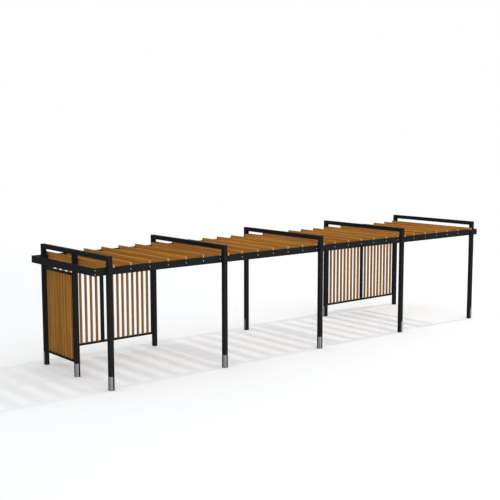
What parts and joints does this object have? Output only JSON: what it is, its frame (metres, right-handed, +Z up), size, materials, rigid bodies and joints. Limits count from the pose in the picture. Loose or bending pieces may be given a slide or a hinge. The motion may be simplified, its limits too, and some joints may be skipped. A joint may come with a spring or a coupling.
{
  "type": "freestanding pergola",
  "caption": "Long freestanding pergola with black steel portal frames, a slatted timber roof and timber privacy panels.",
  "frame": {"origin": "middle of the footprint on the floor under the posts", "axes": "+X along the row of frames towards the open end, +Y from the front posts to the back posts, +Z up"},
  "size_m": [12.656, 2.984, 2.82],
  "materials": {
    "black_steel": "fine matt powder coat",
    "timber": "oiled softwood",
    "brushed_metal": "brushed"
  },
  "bodies": {
    "root": {"back_beam": "black_steel", "back_foot_covers": "brushed_metal", "back_panel_1_rails": "black_steel", "back_panel_1_slats": "timber", "back_panel_1_uprights": "black_steel", "back_panel_4_rails": "black_steel", "back_panel_4_slats": "timber", "back_panel_4_uprights": "black_steel", "back_post_1": "black_steel", "back_post_2": "black_steel", "back_post_3": "black_steel", "back_post_4": "black_steel", "back_post_5": "black_steel", "crossbar_1": "black_steel", "crossbar_2": "black_steel", "crossbar_3": "black_steel", "crossbar_4": "black_steel", "crossbar_5": "black_steel", "end_panel_post": "black_steel", "end_panel_post_cover": "brushed_metal", "end_panel_rails": "black_steel", "end_panel_slats": "timber", "end_panel_stiles": "black_steel", "front_beam": "black_steel", "front_foot_covers": "brushed_metal", "front_post_1": "black_steel", "front_post_2": "black_steel", "front_post_3": "black_steel", "front_post_4": "black_steel", "front_post_5": "black_steel", "left_end_beam": "black_steel", "right_end_beam": "black_steel", "roof_boards_bay_1": "timber", "roof_boards_bay_2": "timber", "roof_boards_bay_3": "timber", "roof_boards_bay_4": "timber", "roof_boards_beside_frames": "timber"}
  },
  "joints": []
}
